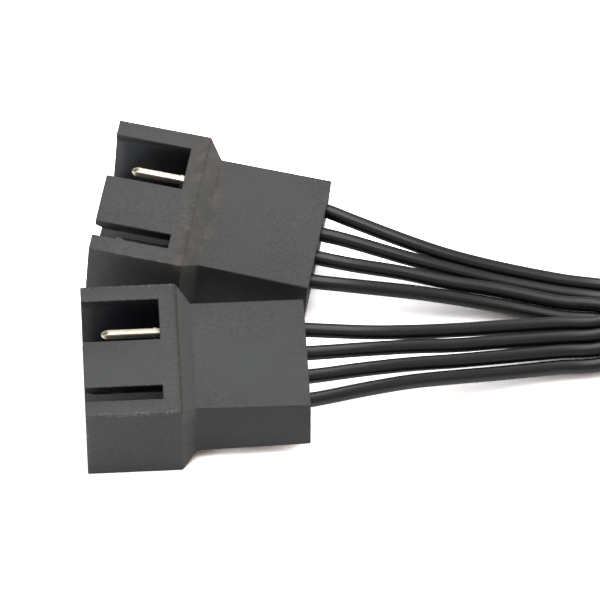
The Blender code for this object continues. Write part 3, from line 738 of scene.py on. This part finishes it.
middle_line = strap_thickness / 2
corner = wire_diameter / 2 + middle_line
loop = []
for sign_y, sign_z, first in ((1, 1, 0), (-1, 1, 90), (-1, -1, 180), (1, -1, 270)):
    for n in range(9):
        turn = math.radians(first + 90 * n / 8)
        y = hank_middle.y + sign_y * (strap_reach + middle_line - corner) + corner * math.cos(turn)
        rise = (strap_high - strap_low) / 2 + middle_line - corner
        loop.append(Vector((
            hank_middle.x, y, (strap_low + strap_high) / 2 + sign_z * rise + corner * math.sin(turn),
        )))
stub_y = head_y + (slot_near + slot_far) / 2
stub_height = 0.0031
stub = [Vector((hank_middle.x, stub_y, head_low + 0.0002 + stub_height * n / 6)) for n in range(7)]
tie_tree = strap_tree()
sizes = {
    "Width": strap_width, "Thickness": strap_thickness * 0.94, "Tooth pitch": 0.0008, "Nylon": strap_nylon,
}
tie_loop = grown_along("hank_tie_strap", loop, tie_tree, sizes, closed=True)
sizes = {"Width": strap_width, "Thickness": 0.0005, "Tooth pitch": 0.00045, "Nylon": strap_nylon}
tie_end = grown_along("hank_tie_end", stub, tie_tree, sizes)

bm = bmesh.new()
rings = []
for height in (head_low, head_high):
    for low_x, high_x, low_y, high_y in (
        (-head_half_width, head_half_width, -head_half_length, head_half_length),
        (-slot_half_width, slot_half_width, slot_near, slot_far),
    ):
        corners = ((low_x, low_y), (high_x, low_y), (high_x, high_y), (low_x, high_y))
        rings.append([bm.verts.new((hank_middle.x + a, head_y + b, height)) for a, b in corners])
low_out, low_in, high_out, high_in = rings
for i in range(4):
    k = (i + 1) % 4
    bm.faces.new((low_out[i], low_out[k], high_out[k], high_out[i]))
    bm.faces.new((low_in[k], low_in[i], high_in[i], high_in[k]))
    bm.faces.new((high_out[i], high_out[k], high_in[k], high_in[i]))
    bm.faces.new((low_out[k], low_out[i], low_in[i], low_in[k]))
tie_head = placed_piece(bm, "hank_tie_head", Matrix.Identity(4), strap_nylon, 0.00020)

tie_pieces = [tie_loop, tie_head, tie_end]
for piece in tie_pieces:
    for polygon in piece.data.polygons:
        polygon.use_smooth = True
    piece.data.set_sharp_from_angle(angle=math.radians(35))
    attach(piece, "root")
    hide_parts("hank_tie")


# Wires
# Eight single wires: stranded copper in a black PVC sheath. Each leaves its crimp in a header, runs over the
# table and through the folded hank, and ends in the plug, where a near and a far wire share a receptacle.
table_routes = {
    "near": [
        [(0.0137, -0.00416, 0.00451), (0.0176, -0.00374, 0.00402), (0.0215, -0.00307, 0.00342),
         (0.0254, -0.00232, 0.00286), (0.0306, -0.00145, 0.00226), (0.0341, -0.00112, 0.00206),
         (0.0395, 0.00040, 0.00202)],
        [(0.0137, -0.00599, 0.00449), (0.0175, -0.00531, 0.00398), (0.0215, -0.00469, 0.00338),
         (0.0253, -0.00390, 0.00283), (0.0306, -0.00298, 0.00224), (0.0340, -0.00254, 0.00205),
         (0.0395, -0.00102, 0.00202)],
        [(0.0136, -0.00813, 0.00445), (0.0175, -0.00719, 0.00392), (0.0215, -0.00634, 0.00330),
         (0.0253, -0.00544, 0.00270), (0.0305, -0.00434, 0.00206), (0.0340, -0.00391, 0.00186),
         (0.0395, -0.00241, 0.00200)],
        [(0.0136, -0.01027, 0.00438), (0.0175, -0.00896, 0.00376), (0.0215, -0.00785, 0.00300),
         (0.0253, -0.00689, 0.00228), (0.0305, -0.00567, 0.00154), (0.0340, -0.00521, 0.00134),
         (0.0395, -0.00380, 0.00180)],
    ],
    "far": [
        [(0.0125, 0.00836, 0.00436), (0.0170, 0.00675, 0.00362), (0.0210, 0.00565, 0.00284),
         (0.0255, 0.00490, 0.00197), (0.0308, 0.00424, 0.00114), (0.0343, 0.00396, 0.00078),
         (0.0395, 0.00313, 0.00068)],
        [(0.0125, 0.00611, 0.00420), (0.0170, 0.00502, 0.00346), (0.0210, 0.00429, 0.00268),
         (0.0255, 0.00359, 0.00180), (0.0307, 0.00294, 0.00105), (0.0342, 0.00262, 0.00074),
         (0.0395, 0.00172, 0.00067)],
        [(0.0125, 0.00367, 0.00405), (0.0170, 0.00329, 0.00338), (0.0210, 0.00272, 0.00278),
         (0.0255, 0.00232, 0.00214), (0.0307, 0.00154, 0.00148), (0.0342, 0.00137, 0.00122),
         (0.0395, 0.00035, 0.00072)],
        [(0.0125, 0.00147, 0.00388), (0.0176, 0.00145, 0.00305), (0.0210, 0.00136, 0.00242),
         (0.0255, 0.00100, 0.00166), (0.0307, 0.00030, 0.00095), (0.0342, 0.00012, 0.00069),
         (0.0395, -0.00106, 0.00067)],
    ],
}
hank_half_run = 0.0125
fold_radius = 0.005835
wire_sag = 0.00025
strap_lift = 0.00074
strap_lift_reach = 0.0031
point_spacing = 0.0006


def smooth_line(knots, step):
    """Points a step apart, read from one smooth curve through the knots."""
    knots = [Vector(k) for k in knots]
    ends = [2 * knots[0] - knots[1]] + knots + [2 * knots[-1] - knots[-2]]
    dense = []
    for a, b, c, d in zip(ends, ends[1:], ends[2:], ends[3:]):
        for i in range(16):
            t = i / 16
            dense.append(0.5 * (
                2 * b + (c - a) * t + (2 * a - 5 * b + 4 * c - d) * t ** 2
                + (3 * b - a - 3 * c + d) * t ** 3
            ))
    dense.append(knots[-1])
    gaps = [(q - p).length for p, q in zip(dense, dense[1:])]
    count = max(2, round(sum(gaps) / step))
    points, reached, i = [dense[0]], 0.0, 0
    for n in range(1, count):
        target = sum(gaps) * n / count
        while reached + gaps[i] < target:
            reached += gaps[i]
            i += 1
        points.append(dense[i].lerp(dense[i + 1], (target - reached) / gaps[i]))
    return points + [dense[-1]]


def ribbon_run():
    """The middle of the ribbon through the hank: (place, direction) pairs, right, back and right again."""
    ahead = Vector((1.0, 0.0))
    upper = [(Vector((-hank_half_run * (1 - n / 8), run_spacing)), ahead) for n in range(9)]
    rise = 2 * fold_radius - run_spacing
    for n in range(1, 10):
        t = n / 10
        y = run_spacing + rise * t * t * (3 - 2 * t)
        painted_light_slope = rise * 6 * t * (1 - t) / hank_half_run
        upper.append((Vector((hank_half_run * t, y)), Vector((1.0, painted_light_slope)).normalized()))
    for n in range(17):
        turn = math.pi * n / 16
        reach = hank_half_run + fold_radius * math.sin(turn)
        place = Vector((reach, fold_radius + fold_radius * math.cos(turn)))
        upper.append((place, Vector((math.cos(turn), -math.sin(turn)))))
    upper += [(Vector((hank_half_run * (1 - n / 6), 0.0)), -ahead) for n in range(1, 7)]
    lower = [(-place, direction) for place, direction in reversed(upper[:-1])]
    return upper + lower


def wire_knots(side, i):
    layer = {"near": 1, "far": 0}[side]
    across = 1.5 - i
    inside = (
        (wire_start, row_height), (0.0172, row_height - 0.00008), (header_length, row_height - wire_sag),
    )
    knots = [headers[side] @ Vector((x, across * contact_pitch, z)) for x, z in inside]
    knots += [Vector(p) for p in table_routes[side][i]]
    rest_height = wire_diameter / 2 + hank_lift + layer * wire_gap
    for place, direction in ribbon_run():
        left = Vector((-direction.y, direction.x))
        flat = hank_middle + place + left * across * wire_gap
        over_strap = math.exp(-(place.x / strap_lift_reach) ** 2) * strap_lift
        knots.append(Vector((flat.x, flat.y, rest_height + over_strap)))
    last = knots[-1]
    end_y = plug_rear.y + across * contact_pitch
    end_z = plug_wire_middle + (layer - 0.5) * wire_gap
    span = plug_rear.x - last.x
    knots += [
        Vector((last.x + 0.30 * span, last.y + 0.14 * (end_y - last.y), last.z + 0.10 * (end_z - last.z))),
        Vector((last.x + 0.68 * span, last.y + 0.82 * (end_y - last.y), last.z + 0.80 * (end_z - last.z))),
        Vector((plug_rear.x, end_y, end_z)),
        Vector((plug_rear.x + plug_wire_depth, end_y, end_z)),
    ]
    return knots


def sheath_tree():
    """Sweeps a round sheath along a wire's line, closes its ends and keeps the run and turn as its map."""
    tree = bpy.data.node_groups.new("wire_sheath", "GeometryNodeTree")
    tree.interface.new_socket("Geometry", in_out="INPUT", socket_type="NodeSocketGeometry")
    tree.interface.new_socket("Diameter", in_out="INPUT", socket_type="NodeSocketFloat")
    tree.interface.new_socket("Sheath", in_out="INPUT", socket_type="NodeSocketMaterial")
    tree.interface.new_socket("Geometry", in_out="OUTPUT", socket_type="NodeSocketGeometry")
    nodes, links = tree.nodes, tree.links
    came = nodes.new("NodeGroupInput")
    goes = nodes.new("NodeGroupOutput")
    to_curve = nodes.new("GeometryNodeMeshToCurve")
    ring = nodes.new("GeometryNodeCurvePrimitiveCircle")
    ring.inputs["Resolution"].default_value = 24
    half = nodes.new("ShaderNodeMath")
    half.operation = "MULTIPLY"
    half.inputs[1].default_value = 0.5
    links.new(came.outputs["Diameter"], half.inputs[0])
    links.new(half.outputs[0], ring.inputs["Radius"])
    along, around = nodes.new("GeometryNodeSplineParameter"), nodes.new("GeometryNodeSplineParameter")
    keep_along = nodes.new("GeometryNodeCaptureAttribute")
    keep_around = nodes.new("GeometryNodeCaptureAttribute")
    for keep in (keep_along, keep_around):
        keep.capture_items.new("FLOAT", "Value")
    sweep = nodes.new("GeometryNodeCurveToMesh")
    sweep.inputs["Fill Caps"].default_value = True
    join = nodes.new("ShaderNodeCombineXYZ")
    store = nodes.new("GeometryNodeStoreNamedAttribute")
    store.data_type = "FLOAT2"
    store.domain = "CORNER"
    store.inputs["Name"].default_value = "run_and_turn"
    realize = nodes.new("GeometryNodeRealizeInstances")
    finish = nodes.new("GeometryNodeSetMaterial")
    links.new(came.outputs["Geometry"], to_curve.inputs["Mesh"])
    links.new(to_curve.outputs["Curve"], keep_along.inputs["Geometry"])
    links.new(along.outputs["Length"], keep_along.inputs["Value"])
    links.new(ring.outputs["Curve"], keep_around.inputs["Geometry"])
    links.new(around.outputs["Factor"], keep_around.inputs["Value"])
    links.new(keep_along.outputs["Geometry"], sweep.inputs["Curve"])
    links.new(keep_around.outputs["Geometry"], sweep.inputs["Profile Curve"])
    links.new(keep_along.outputs["Value"], join.inputs["X"])
    links.new(keep_around.outputs["Value"], join.inputs["Y"])
    links.new(sweep.outputs["Mesh"], store.inputs["Geometry"])
    links.new(join.outputs["Vector"], store.inputs["Value"])
    links.new(store.outputs["Geometry"], realize.inputs["Geometry"])
    links.new(realize.outputs["Geometry"], finish.inputs["Geometry"])
    links.new(came.outputs["Sheath"], finish.inputs["Material"])
    links.new(finish.outputs["Geometry"], goes.inputs["Geometry"])
    return tree


sheath, nodes, links, shader = blank_material("pvc_sheath", (0.004, 0.004, 0.005), 0.30)
shader.inputs["Specular IOR Level"].default_value = 0.48
run = nodes.new("ShaderNodeUVMap")
run.uv_map = "run_and_turn"
drawn = nodes.new("ShaderNodeMapping")
drawn.inputs["Scale"].default_value = (1.0, 0.004, 1.0)
links.new(run.outputs["UV"], drawn.inputs["Vector"])
skin = varied(nodes, links, 0.00030, 0.0026, 0.35)
streaks = varied(nodes, links, 0.0011, 0.0050, 0.0, drawn.outputs["Vector"])
tint = mixed(nodes, links, skin.outputs["Cloud"], (0.002, 0.002, 0.0025), (0.005, 0.005, 0.006))
links.new(mixed(nodes, links, skin.outputs["Dust"], tint, (0.030, 0.030, 0.030)), shader.inputs["Base Color"])
links.new(mixed(nodes, links, streaks.outputs["Cloud"], 0.22, 0.36, "FLOAT"), shader.inputs["Roughness"])
uneven = figured(nodes, links, "ADD", skin.outputs["Grain"], streaks.outputs["Cloud"])
bumped(nodes, links, shader, uneven, 0.000008)

sweep_tree = sheath_tree()
for side in ("near", "far"):
    for i in range(4):
        name = f"{side}_wire_{i + 1}"
        points = smooth_line(wire_knots(side, i), point_spacing)
        values = {"Diameter": wire_diameter, "Sheath": sheath}
        wire = grown_along(name + "_sheath", points, sweep_tree, values)
        for polygon in wire.data.polygons:
            polygon.use_smooth = len(polygon.vertices) == 4
        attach(wire, "root")
        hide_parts(name, f"{side}_tail_{i + 1}", "wire_hank")


# Studio
# A white table in a light tent, under a long overhead softbox and a smaller one from the right, as for a shop
# picture. The camera sees the paper as white, with a soft warm shadow painted by ambient occlusion where the
# part meets it.
table = bmesh.new()
bmesh.ops.create_grid(table, x_segments=1, y_segments=1, size=1.5)
table_mesh = bpy.data.meshes.new("table")
table.to_mesh(table_mesh)
table.free()
table_top = bpy.data.objects.new("table", table_mesh)
bpy.context.scene.collection.objects.link(table_top)
paper, nodes, links, shader = blank_material("white_paper", (0.80, 0.80, 0.80), 0.9)
shader.inputs["Specular IOR Level"].default_value = 0.1
seen = nodes.new("ShaderNodeLightPath")
bright = mixed(nodes, links, seen.outputs["Is Glossy Ray"], (0.85, 0.85, 0.85), (1.0, 1.0, 1.0))
# Painted shadow: for camera rays an ambient occlusion node darkens the paper to a warm brown where the part
# meets it.
contact = nodes.new("ShaderNodeAmbientOcclusion")
contact.inputs["Distance"].default_value = 0.0022
painted_shadow_ramp = ramped(nodes, links, contact.outputs["AO"], 0.25, 0.66)
painted_shadow_colour = mixed(nodes, links, painted_shadow_ramp, (1.02, 0.76, 0.64), (3.20, 3.12, 3.10))
links.new(mixed(nodes, links, seen.outputs["Is Camera Ray"], bright, painted_shadow_colour), shader.inputs["Base Color"])
table_mesh.materials.append(paper)

world = bpy.data.worlds.new("studio")
world.use_nodes = True
bpy.context.scene.world = world
nodes, links = world.node_tree.nodes, world.node_tree.links
seen = nodes.new("ShaderNodeLightPath")
background = nodes["Background"]
background.inputs["Color"].default_value = (1.0, 1.0, 1.0, 1.0)
glow = mixed(nodes, links, seen.outputs["Is Camera Ray"], 0.58, 1.0, "FLOAT")
links.new(glow, background.inputs["Strength"])


def softbox(name, place, aim, size, power):
    lamp = bpy.data.lights.new(name, "AREA")
    lamp.shape = "RECTANGLE"
    lamp.size, lamp.size_y = size
    lamp.energy = power
    made = bpy.data.objects.new(name, lamp)
    bpy.context.scene.collection.objects.link(made)
    made.location = place
    made.rotation_euler = (Vector(aim) - Vector(place)).to_track_quat("-Z", "Y").to_euler()


softbox("overhead_softbox", (0.01, 0.25, 0.80), (0.01, 0.0, 0.0), (0.36, 1.20), 5.2)
softbox("right_softbox", (0.75, 0.05, 0.45), (0.01, 0.0, 0.0), (0.40, 0.50), 2.8)

bpy.context.scene.view_settings.view_transform = "Standard"
